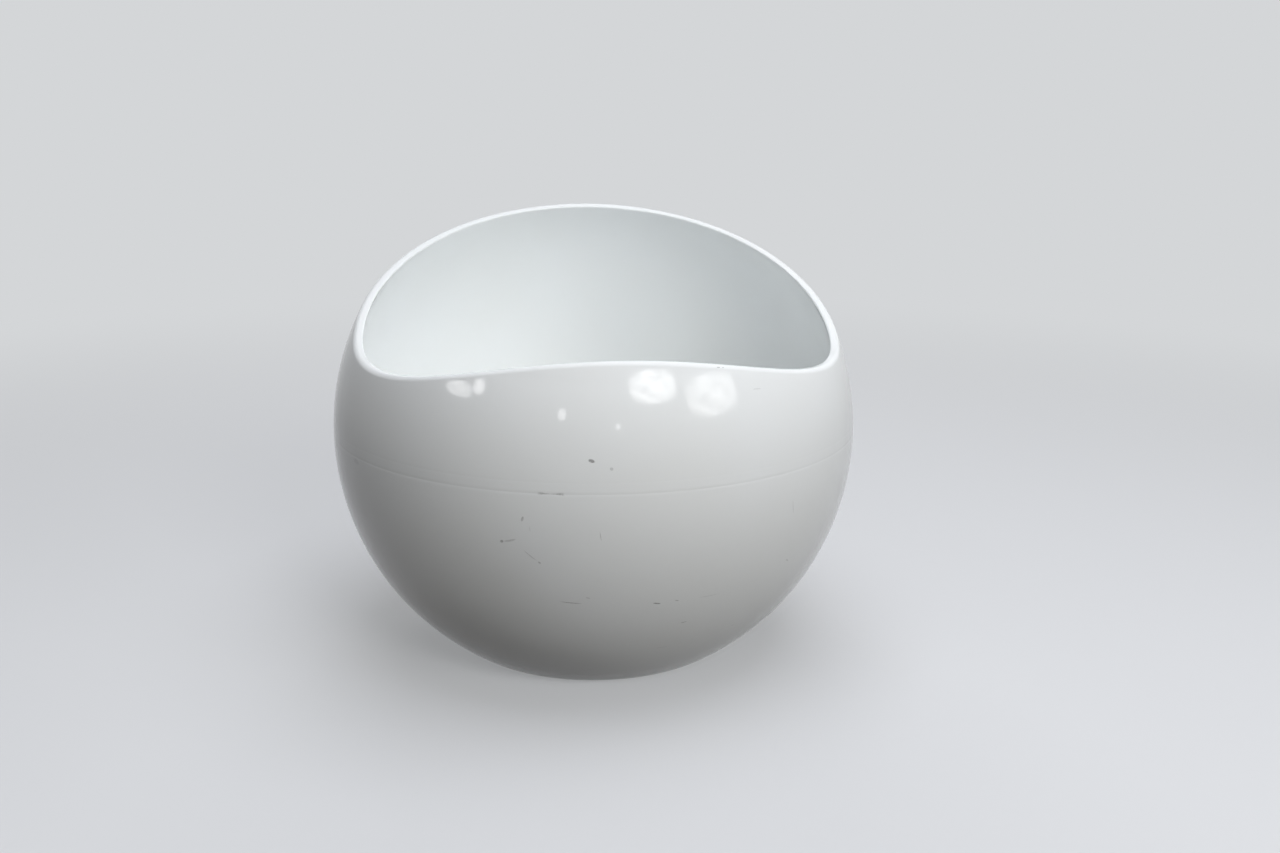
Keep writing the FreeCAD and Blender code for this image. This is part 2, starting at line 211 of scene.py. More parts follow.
def hollow_arcs(s):
    """The arcs of the hollow's profile, from its top over the blend to the middle of the pan."""
    dip_level = s.dip_rise * math.cos(s.seat_tilt) + s.dip_y * math.sin(s.seat_tilt)
    blend_top = dip_level - s.upright_below_dip
    share = (s.inner_radius - s.pan_blend) / s.inner_radius
    blend_out = math.sqrt(s.inner_radius ** 2 - blend_top ** 2) * share
    blend_up = blend_top * share
    dish_up = blend_up + math.sqrt((s.pan_dish_radius - s.pan_blend) ** 2 - blend_out ** 2)
    wall_end = math.asin(blend_top / s.inner_radius)
    blend_end = math.atan2(blend_up - dish_up, blend_out)
    return [
        (0.0, 0.0, s.inner_radius, math.pi / 2, wall_end),
        (blend_out, blend_up, s.pan_blend, wall_end, blend_end),
        (0.0, dish_up, s.pan_dish_radius, blend_end, -math.pi / 2),
    ]


def arc_run(radius):
    """Length that an arc counts for each radian, with an extra that gives tight arcs more rows."""
    return radius + BEND_EXTRA


def hollow_run(s):
    return sum(arc_run(radius) * (start - end) for _, _, radius, start, end in s.hollow_arcs)


def on_hollow(s, run, turn, behind=0.0):
    """A point of the hollow at a run down its profile, on the seat's surface or some way behind it."""
    for out, up, radius, start, end in s.hollow_arcs:
        part = arc_run(radius) * (start - end)
        if run <= part or end == -math.pi / 2:
            bend = start - min(run, part) / arc_run(radius)
            break
        run -= part
    side = out + (radius + behind) * math.cos(bend)
    rise = up + (radius + behind) * math.sin(bend)
    outward = Vector((math.cos(turn), 0, 0)) + s.aside * math.sin(turn)
    return s.centre + outward * side + s.axis * rise


def run_at_depth(s, depth, turn, behind=0.0):
    return crossing(lambda run: rim_depth(s, on_hollow(s, run, turn, behind)) - depth, 0.0, hollow_run(s))


def rim_normal(s, point):
    """Direction straight up from the rim line in side view, which is square to the cut of the lip."""
    y = s.dip_y - point.y
    z = s.centre.z + s.dip_rise + s.dip_radius - point.z
    if y * math.cos(s.rise_angle) + z * math.sin(s.rise_angle) < 0:
        return Vector((0, -math.sin(s.rise_angle), math.cos(s.rise_angle)))
    return Vector((0, y, z)).normalized()


def rounding(s, radius, depth, turn):
    """Middle of a rounding of the lip at this turn, its directions outwards and over the lip, its latitude
    about the tilted axis, and the bend at which it meets the cut of the rim."""
    lowest = -0.3
    step = 0.002

    def latitude(place):
        return crossing(
            lambda bend: rim_depth(s, on_tilted_ball(s, radius, bend, place)) - depth, math.pi / 2, lowest)

    middle = on_tilted_ball(s, radius, latitude(turn), turn)
    before = on_tilted_ball(s, radius, latitude(turn - step), turn - step)
    after = on_tilted_ball(s, radius, latitude(turn + step), turn + step)
    radial = (middle - s.centre).normalized()
    over = radial.cross((after - before).normalized())
    up = rim_normal(s, middle)
    return middle, radial, over, latitude(turn), math.atan2(up.dot(over), up.dot(radial))


def on_tilted_ball(s, radius, latitude, turn):
    """A point of a ball by latitude and turn about the seat's tilted axis."""
    outward = Vector((math.cos(turn), 0, 0)) + s.aside * math.sin(turn)
    return s.centre + radius * (outward * math.cos(latitude) + s.axis * math.sin(latitude))


def line_sink(s, height):
    """How far the lacquer sinks where it bridges the two edges of the filled band."""
    sink = 0.0
    for edge, depth in ((s.band_low, s.lower_line), (s.band_high, s.upper_line)):
        near = 1 - abs(height - edge) / s.line_reach
        if near > 0:
            sink += depth * near * near
    return sink


def skin(s, latitude, turn):
    """A point of the lacquered outer surface."""
    height = s.centre.z + s.ball_radius * math.sin(latitude)
    return on_ball(s, s.ball_radius - line_sink(s, height), latitude, turn)


def straight(start, end):
    return lambda t: start.lerp(end, t)


def skin_leg(s, start, end, turn):
    return lambda t: skin(s, start + (end - start) * t, turn)


def ball_leg(s, radius, start, end, turn):
    return lambda t: on_ball(s, radius, start + (end - start) * t, turn)


def hollow_leg(s, start, end, turn, behind=0.0):
    return lambda t: on_hollow(s, start + (end - start) * t, turn, behind)


# Outlines. Each is a list of legs. A leg has its number of rows, then 1 where it stays bare of lacquer and
# otherwise 0, and its path for values from 0 to 1. STRAIGHT runs from the leg before to the leg after.

def lower_shell_legs(s, turn):
    """The bowl: skin, rebate for the filler, bare inside, the flange at the base and the foot."""
    inside = s.ball_radius - s.wall
    groove = s.ball_radius - s.seam_depth
    foot = latitude_at(s, s.ball_radius, s.floor_gap)
    edge = latitude_at(s, s.ball_radius, s.band_low)
    near_edge = edge - s.line_reach / s.ball_radius
    inside_foot = latitude_at(s, inside, s.floor_gap)
    plate = latitude_at(s, inside, s.plate_top)
    flange = latitude_at(s, inside, s.plate_top + s.wall)
    joint = latitude_at(s, inside, s.joint_height)
    groove_low = latitude_at(s, groove, s.band_low)
    groove_joint = latitude_at(s, groove, s.joint_height)
    flange_edge = Vector((s.flange_radius * math.cos(turn), s.flange_radius * math.sin(turn), s.plate_top))
    return [
        (64, 0, skin_leg(s, foot, near_edge, turn)),
        (8, 0, skin_leg(s, near_edge, edge, turn)),
        (1, 1, STRAIGHT),
        (1, 1, ball_leg(s, groove, groove_low, groove_joint, turn)),
        (1, 1, STRAIGHT),
        (30, 1, ball_leg(s, inside, joint, flange, turn)),
        (3, 1, STRAIGHT),
        (1, 1, straight(flange_edge + Vector((0, 0, s.wall)), flange_edge)),
        (3, 1, STRAIGHT),
        (3, 1, ball_leg(s, inside, plate, inside_foot, turn)),
        (1, 0, STRAIGHT),
    ]


def seam_filler_legs(s, turn):
    """The filled band: its lacquered face and the three sides that are bonded in the rebate."""
    groove = s.ball_radius - s.seam_depth
    low = latitude_at(s, s.ball_radius, s.band_low)
    high = latitude_at(s, s.ball_radius, s.band_high)
    groove_low = latitude_at(s, groove, s.band_low)
    groove_high = latitude_at(s, groove, s.band_high)
    return [
        (24, 0, skin_leg(s, low, high, turn)),
        (1, 1, STRAIGHT),
        (2, 1, ball_leg(s, groove, groove_high, groove_low, turn)),
        (1, 1, STRAIGHT),
    ]


def upper_shell_legs(s, turn):
    """The dome: skin, rebate, bare inside, solid lip, bonded flange, and the lip rolled to the outside."""
    inside = s.ball_radius - s.wall
    groove = s.ball_radius - s.seam_depth
    outer, radial, over, _, outer_end = rounding(
        s, s.ball_radius - s.lip_outer_round, s.lip_outer_round, turn)
    inner, inward, inner_over, latitude, inner_end = rounding(
        s, s.inner_radius + s.lip_inner_round, s.lip_inner_round, turn)
    upright = math.atan2(radial.y, radial.x)
    lip = math.asin(radial.z)
    edge = latitude_at(s, s.ball_radius, s.band_high)
    near_edge = edge + s.line_reach / s.ball_radius
    joint = latitude_at(s, inside, s.joint_height)
    groove_high = latitude_at(s, groove, s.band_high)
    groove_joint = latitude_at(s, groove, s.joint_height)

    def solid_missing(place):
        return rim_depth(s, on_ball(s, inside, place, upright)) - s.lip_solid_depth

    solid = crossing(solid_missing, joint, math.pi / 2)
    solid_run = run_at_depth(s, s.lip_solid_depth, turn, s.seat_wall)
    back_run = run_at_depth(s, s.lip_joint_depth, turn, s.seat_wall)
    joint_run = run_at_depth(s, s.lip_joint_depth, turn)
    lip_run = arc_run(s.inner_radius) * (math.pi / 2 - latitude)

    def over_outside(t):
        bend = outer_end * (1 - t)
        return outer + s.lip_outer_round * (math.cos(bend) * radial + math.sin(bend) * over)

    def over_inside(t):
        bend = math.pi + (inner_end - math.pi) * t
        return inner + s.lip_inner_round * (math.cos(bend) * inward + math.sin(bend) * inner_over)

    return [
        (40, 0, skin_leg(s, lip, near_edge, upright)),
        (8, 0, skin_leg(s, near_edge, edge, upright)),
        (1, 1, STRAIGHT),
        (1, 1, ball_leg(s, groove, groove_high, groove_joint, upright)),
        (1, 1, STRAIGHT),
        (20, 1, ball_leg(s, inside, joint, solid, upright)),
        (2, 1, STRAIGHT),
        (4, 1, hollow_leg(s, solid_run, back_run, turn, s.seat_wall)),
        (1, 1, STRAIGHT),
        (1, 0, hollow_leg(s, joint_run, joint_run - EDGE_TRIM, turn)),
        (7, 0, hollow_leg(s, joint_run - EDGE_TRIM, lip_run, turn)),
        (8, 0, over_inside),
        (1, 0, STRAIGHT),
        (20, 0, over_outside),
    ]


def seat_shell_legs(s, turn):
    """The scoop: pan, blend and back, the joggled edge behind the lip's flange, and the bare underside."""
    tab = s.seat_wall + s.joggle_thickness
    end = hollow_run(s)
    joint_run = run_at_depth(s, s.lip_joint_depth, turn)
    back_run = run_at_depth(s, s.lip_joint_depth, turn, s.seat_wall)
    tab_top = run_at_depth(s, s.lip_joint_depth - s.joggle_overlap, turn, s.seat_wall)
    tab_top_back = run_at_depth(s, s.lip_joint_depth - s.joggle_overlap, turn, tab)
    tab_low_back = run_at_depth(s, s.lip_joint_depth + s.joggle_overlap, turn, tab)
    tab_low = run_at_depth(s, s.lip_joint_depth + s.joggle_overlap, turn, s.seat_wall)
    return [
        (110, 0, hollow_leg(s, end, joint_run + EDGE_TRIM, turn)),
        (1, 0, hollow_leg(s, joint_run + EDGE_TRIM, joint_run, turn)),
        (1, 1, STRAIGHT),
        (3, 1, hollow_leg(s, back_run, tab_top, turn, s.seat_wall)),
        (1, 1, STRAIGHT),
        (6, 1, hollow_leg(s, tab_top_back, tab_low_back, turn, tab)),
        (1, 1, STRAIGHT),
        (60, 1, hollow_leg(s, tab_low, end, turn, s.seat_wall)),
    ]


def joint_band_legs(s, turn):
    """The strip bonded behind the joint of the two outer shells."""
    inside = s.ball_radius - s.wall
    face = inside - s.band_thickness
    low = latitude_at(s, inside, s.joint_height - s.band_height / 2)
    high = latitude_at(s, inside, s.joint_height + s.band_height / 2)
    return [
        (12, 1, ball_leg(s, inside, low, high, turn)),
        (1, 1, STRAIGHT),
        (12, 1, ball_leg(s, face, high, low, turn)),
        (1, 1, STRAIGHT),
    ]


# Mesh tools

def joined(legs):
    """Gives each straight leg its path, and joins the last one to the first leg."""
    whole = []
    for number, (rows, bare, path) in enumerate(legs):
        if path is STRAIGHT:
            following = legs[(number + 1) % len(legs)][2]
            path = straight(legs[number - 1][2](1.0), following(0.0))
        whole.append((rows, bare, path))
    return whole


def turned_shell(s, legs_at, leaning=False):
    """Spins an outline about the upright or leaning axis, then slides each row to where the rim puts it."""
    axis, aside = (s.axis, s.aside) if leaning else (Vector((0, 0, 1)), Vector((0, 1, 0)))
    bm = bmesh.new()
    place = bm.verts.layers.float.new("place")
    step = math.tau / TURN_STEPS
    columns = [joined(legs_at(s, FRONT + step * i)) for i in range(TURN_STEPS)]
    legs = columns[0]
    corners = [bm.verts.new(path(0.0)) for _, _, path in legs] + [bm.verts.new(legs[-1][2](1.0))]
    for number, corner in enumerate(corners):
        corner[place] = number
    for pair in zip(corners, corners[1:]):
        bm.edges.new(pair)
    for number, (rows, _, _) in enumerate(legs):
        leg = [e for e in bm.edges if sorted(v[place] for v in e.verts) == [number, number + 1]]
        bmesh.ops.subdivide_edges(bm, edges=leg, cuts=rows - 1)
    for vert in bm.verts:
        number = min(int(vert[place]), len(legs) - 1)
        vert.co = legs[number][2](vert[place] - number)
    bmesh.ops.spin(
        bm, geom=bm.verts[:] + bm.edges[:], cent=s.centre, axis=axis, angle=math.tau,
        steps=TURN_STEPS, use_merge=True)
    for vert in bm.verts:
        arm = vert.co - s.centre
        turn = math.atan2(arm.dot(aside), arm.x) - FRONT
        number = min(int(vert[place]), len(legs) - 1)
        vert.co = columns[round(turn / step) % TURN_STEPS][number][2](vert[place] - number)
    bare = bm.faces.layers.float.new("bare")
    for face in bm.faces:
        middle = sum(vert[place] for vert in face.verts) / len(face.verts)
        face[bare] = legs[min(int(middle), len(legs) - 1)][1]
    close_up(bm)
    return bm


def close_up(bm):
    """Merges the points that a spin leaves on its axis and turns all faces outwards."""
    bmesh.ops.remove_doubles(bm, verts=bm.verts, dist=MERGE_DISTANCE)
    bmesh.ops.recalc_face_normals(bm, faces=bm.faces)


def ring_edges(bm, radius, height):
    """Edges that lie on one level circle about the vertical axis."""

    def on_ring(vert):
        off_circle = abs(math.hypot(vert.co.x, vert.co.y) - radius)
        return abs(vert.co.z - height) < SAME_PLACE and off_circle < SAME_PLACE

    return [edge for edge in bm.edges if all(on_ring(vert) for vert in edge.verts)]


def soften(bm, sharp_degrees):
    """Smooth shading with creases only where faces meet at a real corner."""
    for face in bm.faces:
        face.smooth = True
    for edge in bm.edges:
        edge.smooth = edge.calc_face_angle(0.0) < math.radians(sharp_degrees)


def add_mesh(bm, name, material):
    """Makes an object with one material."""
    mesh = bpy.data.meshes.new(name)
    bm.to_mesh(mesh)
    bm.free()
    mesh.materials.append(material)
    made = bpy.data.objects.new(name, mesh)
    bpy.context.scene.collection.objects.link(made)
    return made


def add_piece(bm, name, node, material, sharp_degrees=35.0):
    """Shades a mesh and makes it a piece that stands for a CAD node and rides on the chair."""
    soften(bm, sharp_degrees)
    piece = add_mesh(bm, name, material)
    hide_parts(node)
    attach(piece, "root")


def turned_part(bm, outline, matrix, closed=False, hexagon_rows=()):
    """Spins an outline of (radius, height) about +Z, gives the named rows six flats, and puts it in place."""
    rows = bm.verts.layers.int.get("row") or bm.verts.layers.int.new("row")
    known = set(bm.verts)
    verts = [bm.verts.new((radius, 0, height)) for radius, height in outline]
    for number, vert in enumerate(verts):
        vert[rows] = number
    pairs = list(zip(verts, verts[1:])) + ([(verts[-1], verts[0])] if closed else [])
    edges = [bm.edges.new(pair) for pair in pairs]
    bmesh.ops.spin(
        bm, geom=verts + edges, cent=(0, 0, 0), axis=(0, 0, 1), angle=math.tau,
        steps=SCREW_STEPS, use_merge=True)
    made = [v for v in bm.verts if v not in known]
    for vert in made:
        if vert[rows] in hexagon_rows:
            turn = math.atan2(vert.co.y, vert.co.x) % math.radians(60) - math.radians(30)
            flat = math.cos(math.radians(30)) / math.cos(turn)
            vert.co.x *= flat
            vert.co.y *= flat
    bmesh.ops.transform(bm, matrix=matrix, verts=made)


def arc_rows(centre_radius, centre_height, radius, start, end, count):
    """Points of (radius, height) along an arc in a turned part's outline, angles in degrees."""
    points = []
    for i in range(count + 1):
        bend = math.radians(start + (end - start) * i / count)
        points.append((centre_radius + radius * math.cos(bend), centre_height + radius * math.sin(bend)))
    return points


def hexagon_socket(top, radius, depth, chamfer_width, chamfer_height):
    """Start of a screw's outline: the socket's floor, its wall and the chamfer up to the head's top."""
    return [(0.0, top - depth), (radius, top - depth), (radius, top - chamfer_height),
            (radius + chamfer_width, top)]


def shank(under_head, radius, end, tip_radius, taper):
    """End of a screw's outline: from under the head down the shank and its taper to the tip."""
    return [(radius, under_head), (radius, end + taper), (tip_radius, end), (0.0, end)]


def around(count, radius, height, turn=0.0):
    """Placements evenly spaced on a level circle, the first at the given turn from +X."""
    for i in range(count):
        place = turn + math.tau * i / count
        yield Matrix.Translation((radius * math.cos(place), radius * math.sin(place), height))


def add_turned_parts(name, node, slot, material, outline, places, **options):
    """Makes one piece of equal turned parts, one at each place."""
    bm = bmesh.new()
    for place in places:
        turned_part(bm, outline, place, **options)
    close_up(bm)
    add_piece(bm, name, node, material, sharp_degrees=30)


# Materials

def add(tree, kind, inputs=None, output=None, **settings):
    """Adds a shader node with its settings. Each input gets a value, or a link where it is given a socket. It
    returns the named output, or else the first that the node has in use."""
    made = tree.nodes.new("ShaderNode" + kind)
    for name, value in settings.items():
        setattr(made, name, value)
    for socket, given in (inputs or {}).items():
        if isinstance(given, bpy.types.NodeSocket):
            tree.links.new(given, made.inputs[socket])
        else:
            made.inputs[socket].default_value = given
    if output is not None:
        return made.outputs[output]
    return next((socket for socket in made.outputs if socket.enabled), None)


def new_material(name):
    """An empty material, its node tree and the place of a point on the object."""
    material = bpy.data.materials.new(name)
    material.use_nodes = True
    tree = material.node_tree
    tree.nodes.clear()
    return material, tree, add(tree, "TexCoord", output="Object")


def surfaced(material, inputs):
    """Ends a material with its surface."""
    surface = add(material.node_tree, "BsdfPrincipled", inputs)
    add(material.node_tree, "OutputMaterial", {"Surface": surface})
    return material


def per_metre(millimetres):
    """Texture scale that repeats a pattern once every so many millimetres."""
    return 1000.0 / millimetres


# Knocks and scratches in the lacquer. Each end is in degrees round from the front and millimetres above the
# ball's middle. Then come the width in millimetres and the strength.
SCUFFS = (
    ((-6.2, 40.9), (-4.9, 38.9), 1.0, 0.85),
    ((-2.3, 32.7), (-1.6, 31.9), 0.8, 0.35),
    ((-15.6, 7.7), (-10.2, 7.4), 0.8, 0.75),
    ((-18.5, -18.5), (-18.1, -19.2), 1.2, 0.50),
    ((-17.0, -25.5), (-16.9, -31.7), 0.8, 0.30),
    ((-4.1, -29.1), (-3.8, -39.7), 0.9, 0.45),
    ((-22.9, -44.8), (-22.2, -43.7), 1.0, 0.65),
    ((-22.3, -44.0), (-19.6, -40.2), 0.7, 0.30),
    ((-18.5, -50.8), (-15.8, -62.9), 0.6, 0.28),
    ((-15.8, -63.5), (-15.2, -65.3), 1.0, 0.45),
    ((37.0, -22.1), (37.9, -40.7), 0.7, 0.30),
    ((39.3, -94.8), (40.4, -98.0), 1.2, 0.40),
    ((-12.4, -108.8), (-7.4, -110.8), 0.8, 0.60),
    ((-6.9, -103.5), (-5.9, -104.5), 0.8, 0.35),
    ((6.8, -114.0), (8.6, -115.6), 1.4, 0.85),
    ((11.5, -113.2), (12.5, -114.5), 0.9, 0.55),
    ((16.5, -113.9), (22.2, -113.8), 0.6, 0.20),
    ((14.2, -145.9), (15.8, -145.3), 1.1, 0.55),
    ((30.8, -171.1), (31.0, -169.1), 1.3, 0.70),
    ((9.9, -181.4), (13.3, -181.1), 0.8, 0.35),
    ((-62.1, 3.3), (-59.2, 2.1), 0.6, 0.12),
    ((27.6, 95.3), (30.0, 94.5), 0.7, 0.22),
    ((-52.9, 106.2), (-52.3, 106.0), 1.6, 0.80),
    ((20.2, 119.6), (21.0, 119.6), 1.4, 0.75),
    ((21.4, 119.4), (21.9, 119.3), 1.2, 0.55),
)
# How much of its width a scuff shows at full strength, and how far its ellipsoid reaches in depth.
SCUFF_SHARE = 0.303
SCUFF_REACH = 0.004


def scuff_mask(tree, position):
    """One mask for all scuffs: each is a thin ellipsoid laid along the scratch."""
    s = chair_shape()
    mask = 0.0
    for *ends, width, strength in SCUFFS:
        places = []
        for degrees, height in ends:
            latitude = math.asin(height / 1000 / s.ball_radius)
            places.append(on_ball(s, s.ball_radius, latitude, FRONT + math.radians(degrees)))
        first, last = places
        along = last - first
        half_width = width / 1000 * SCUFF_SHARE
        mapped = add(tree, "Mapping", {
            "Vector": position, "Location": (first + last) / 2,
            "Rotation": along.to_track_quat("X", "Z").to_euler("XYZ"),
            "Scale": (along.length / 2 + width / 4000, half_width, SCUFF_REACH)
        }, vector_type="TEXTURE")
        distance = add(tree, "VectorMath", {0: mapped}, operation="LENGTH")
        spot = add(tree, "MapRange", {
            "Value": distance, "From Min": 1.0, "From Max": 0.55, "To Min": 0.0, "To Max": strength
        }, interpolation_type="SMOOTHSTEP")
        mask = add(tree, "Math", {0: mask, 1: spot}, operation="MAXIMUM")
    return mask


def strand_pattern(tree, position):
    """Chopped glass strands that lie in all directions, about 1.5 mm wide and 30 mm long."""
    pattern = 0.0
    for turn in (0.3, 1.2, 2.1, 2.9):
        laid = add(tree, "Mapping", {
            "Vector": position, "Rotation": (turn, turn * 0.7, turn),
            "Scale": (per_metre(1.5), per_metre(30), per_metre(1.5))
        })
        strands = add(tree, "TexNoise", {"Vector": laid, "Scale": 1.0, "Detail": 1.0, "Roughness": 0.4})
        sharp = add(tree, "MapRange", {"Value": strands, "From Min": 0.56, "From Max": 0.66})
        pattern = add(tree, "Math", {0: pattern, 1: sharp}, operation="MAXIMUM")
    return pattern


def shell_lacquer():
    """Cool white two-pack lacquer, sprayed over glass-fibre shells and polished. It gives crisp reflections
    with a trace of orange peel and slow waves, a few dirty scratches, and bare laminate on the inside."""
    colours = bpy.context.scene.chair_colours
    material, tree, position = new_material("polished_white_lacquer")
    bare = add(tree, "Attribute", output="Fac", attribute_name="bare")

    # Slow drift of tone, patches 180 mm across.
    drift = add(tree, "TexNoise", {
        "Vector": position, "Scale": per_metre(180), "Detail": 2.0, "Roughness": 0.5
    })
    aged = add(tree, "Mix", {
        "Factor": drift, "A": colours.lacquer, "B": colours.aged_lacquer
    }, data_type="RGBA")

    # Scratches break up over grains 0.6 mm across.
    grain = add(tree, "TexNoise", {
        "Vector": position, "Scale": per_metre(0.6), "Detail": 2.0, "Roughness": 0.6
    })
    broken = add(tree, "MapRange", {
        "Value": grain, "From Min": 0.35, "From Max": 0.60, "To Min": 0.45, "To Max": 1.0
    })
    marks = scuff_mask(tree, position)
    marks = add(tree, "Math", {0: marks, 1: broken}, operation="MULTIPLY")
    painted = add(tree, "Mix", {"Factor": marks, "A": aged, "B": colours.scuff}, data_type="RGBA")

    strands = strand_pattern(tree, position)
    fibre = add(tree, "Mix", {
        "Factor": strands, "A": colours.laminate, "B": colours.laminate_strand
    }, data_type="RGBA")
    surface = add(tree, "Mix", {"Factor": bare, "A": painted, "B": fibre}, data_type="RGBA")

    # Hairlines from wiping, 0.5 mm apart and 60 mm long, only just duller than the polish.
    wiped = add(tree, "Mapping", {
        "Vector": position, "Rotation": (0.4, 0.2, 0.9),
        "Scale": (per_metre(60), per_metre(0.5), per_metre(0.5))
    })
    hairs = add(tree, "TexNoise", {"Vector": wiped, "Scale": 1.0, "Detail": 2.0, "Roughness": 0.5})
    polish = add(tree, "MapRange", {
        "Value": hairs, "From Min": 0.60, "From Max": 0.75, "To Min": 0.055, "To Max": 0.11
    })
    dulled = add(tree, "MapRange", {
        "Value": marks, "To Min": polish, "From Min": 0.0, "From Max": 0.5, "To Max": 0.45
    })
    roughness = add(tree, "Mix", {"Factor": bare, "A": dulled, "B": 0.6}, data_type="FLOAT")

    # Waves of the laminate 70 mm long, then orange peel 3 mm across, both only microns deep.
    waves = add(tree, "TexNoise", {
        "Vector": position, "Scale": per_metre(70), "Detail": 1.0, "Roughness": 0.3
    })
    waved = add(tree, "Bump", {"Height": waves, "Strength": 1.0, "Distance": 0.00012})
    peel = add(tree, "TexNoise", {
        "Vector": position, "Scale": per_metre(3), "Detail": 1.0, "Roughness": 0.4
    })
    peeled = add(tree, "Bump", {"Height": peel, "Normal": waved, "Strength": 1.0, "Distance": 0.000004})
    worn = add(tree, "Math", {
        0: marks, 1: add(tree, "Math", {0: bare, 1: strands}, operation="MULTIPLY")
    }, operation="ADD")
    dented = add(tree, "Bump", {
        "Height": worn, "Normal": peeled, "Strength": 1.0, "Distance": 0.00008
    }, invert=True)

    return surfaced(material, {"Base Color": surface, "Roughness": roughness, "Normal": dented, "IOR": 1.5})


def shared(name, maker):
    """The material of that name, made the first time it is asked for."""
    return bpy.data.materials.get(name) or maker()


def lacquer():
    return shared("polished_white_lacquer", shell_lacquer)


def bare_laminate():
    """Hand-laid glass-fibre laminate, unpainted. Pale strands show through yellow-green resin."""
    colours = bpy.context.scene.chair_colours
    material, tree, position = new_material("bare_glass_fibre_laminate")
    strands = strand_pattern(tree, position)
    resin = add(tree, "Mix", {
        "Factor": strands, "A": colours.laminate, "B": colours.laminate_strand
    }, data_type="RGBA")
    blotches = add(tree, "TexNoise", {
        "Vector": position, "Scale": per_metre(25), "Detail": 3.0, "Roughness": 0.6
    })
    gloss = add(tree, "MapRange", {"Value": blotches, "To Min": 0.35, "To Max": 0.75})
    raised = add(tree, "Bump", {"Height": strands, "Strength": 1.0, "Distance": 0.0002})
    return surfaced(material, {"Base Color": resin, "Roughness": gloss, "Normal": raised, "IOR": 1.55})


def birch_plywood(name, across, along):
    """Sanded birch plywood, nine plies in 12 mm. Faces show rotary-cut grain with fine pores, and cut edges
    show the plies as pale and dark stripes. The plies lie across one axis and the grain along another."""
    colours = bpy.context.scene.chair_colours
    material, tree, position = new_material(name)
    depth = add(tree, "SeparateXYZ", {0: position}, output=across)
    facing = add(tree, "SeparateXYZ", {0: add(tree, "NewGeometry", output="Normal")}, output=across)

    # Growth lines 9 mm apart that run 20 times as far along the grain.
    stretch = [per_metre(9)] * 3
    stretch[along] = per_metre(180)
    grained = add(tree, "Mapping", {"Vector": position, "Scale": stretch})
    figure = add(tree, "TexNoise", {
        "Vector": grained, "Scale": 1.0, "Detail": 4.0, "Roughness": 0.55, "Distortion": 0.6
    })
    lines = add(tree, "MapRange", {"Value": figure, "From Min": 0.35, "From Max": 0.70})
    # Pores 0.5 mm wide and 12 mm long.
    fine = [per_metre(0.5)] * 3
    fine[along] = per_metre(12)
    pored = add(tree, "Mapping", {"Vector": position, "Scale": fine})
    pores = add(tree, "TexNoise", {"Vector": pored, "Scale": 1.0, "Detail": 2.0, "Roughness": 0.5})
    pits = add(tree, "MapRange", {"Value": pores, "From Min": 0.60, "From Max": 0.72})
    tone = add(tree, "Math", {0: lines, 1: pits}, operation="MAXIMUM")
    face = add(tree, "Mix", {
        "Factor": tone, "A": colours.birch, "B": colours.birch_grain
    }, data_type="RGBA")

    # Plies 1.33 mm thick: every other one shows its end grain.
    plies = add(tree, "Math", {0: depth, 1: 0.00133}, operation="PINGPONG")
    stripe = add(tree, "MapRange", {"Value": plies, "From Min": 0.00055, "From Max": 0.00078})
    edge = add(tree, "Mix", {
        "Factor": stripe, "A": colours.birch, "B": colours.birch_edge
    }, data_type="RGBA")

    flat = add(tree, "Math", {0: facing}, operation="ABSOLUTE")
    is_face = add(tree, "Math", {0: flat, 1: 0.8}, operation="GREATER_THAN")
    shown = add(tree, "Mix", {"Factor": is_face, "A": edge, "B": face}, data_type="RGBA")
    rough = add(tree, "MapRange", {"Value": tone, "To Min": 0.48, "To Max": 0.62})
    pitted = add(tree, "Bump", {"Height": tone, "Strength": 1.0, "Distance": 0.00006}, invert=True)
    return surfaced(material, {"Base Color": shown, "Roughness": rough, "Normal": pitted})


def pressed_felt():
    """Pressed wool felt, 3 mm. Matted fibres 0.4 mm thick give a soft, dull, slightly mottled face."""
    colours = bpy.context.scene.chair_colours
    material, tree, position = new_material("pressed_wool_felt")
    fibres = add(tree, "TexNoise", {
        "Vector": position, "Scale": per_metre(0.8), "Detail": 5.0, "Roughness": 0.7, "Distortion": 1.5
    })
    pale = tuple(min(1.0, c * 1.8) for c in colours.felt[:3]) + (1.0,)
    mottled = add(tree, "Mix", {"Factor": fibres, "A": colours.felt, "B": pale}, data_type="RGBA")
    fuzzy = add(tree, "Bump", {"Height": fibres, "Strength": 1.0, "Distance": 0.0003})
    return surfaced(material, {
        "Base Color": mottled, "Normal": fuzzy, "Roughness": 0.95,
        "Sheen Weight": 0.4
    })


def zinc_plate():
    """Bright zinc plating on pressed steel. Blue-white metal with faint warm patches and a drawn grain."""
    colours = bpy.context.scene.chair_colours
    material, tree, position = new_material("bright_zinc_plated_steel")
    patches = add(tree, "TexNoise", {
        "Vector": position, "Scale": per_metre(9), "Detail": 3.0, "Roughness": 0.55
    })
    tint = add(tree, "MapRange", {"Value": patches, "From Min": 0.45, "From Max": 0.75})
    plated = add(tree, "Mix", {"Factor": tint, "A": colours.zinc, "B": colours.zinc_tint}, data_type="RGBA")
    drawn = add(tree, "Mapping", {
        "Vector": position, "Scale": (per_metre(0.3), per_metre(0.3), per_metre(8))
    })
    grain = add(tree, "TexNoise", {"Vector": drawn, "Scale": 1.0, "Detail": 2.0})
    rough = add(tree, "MapRange", {"Value": grain, "To Min": 0.22, "To Max": 0.42})
    lined = add(tree, "Bump", {"Height": grain, "Strength": 1.0, "Distance": 0.00001})
    return surfaced(material, {"Base Color": plated, "Roughness": rough, "Normal": lined, "Metallic": 1.0})


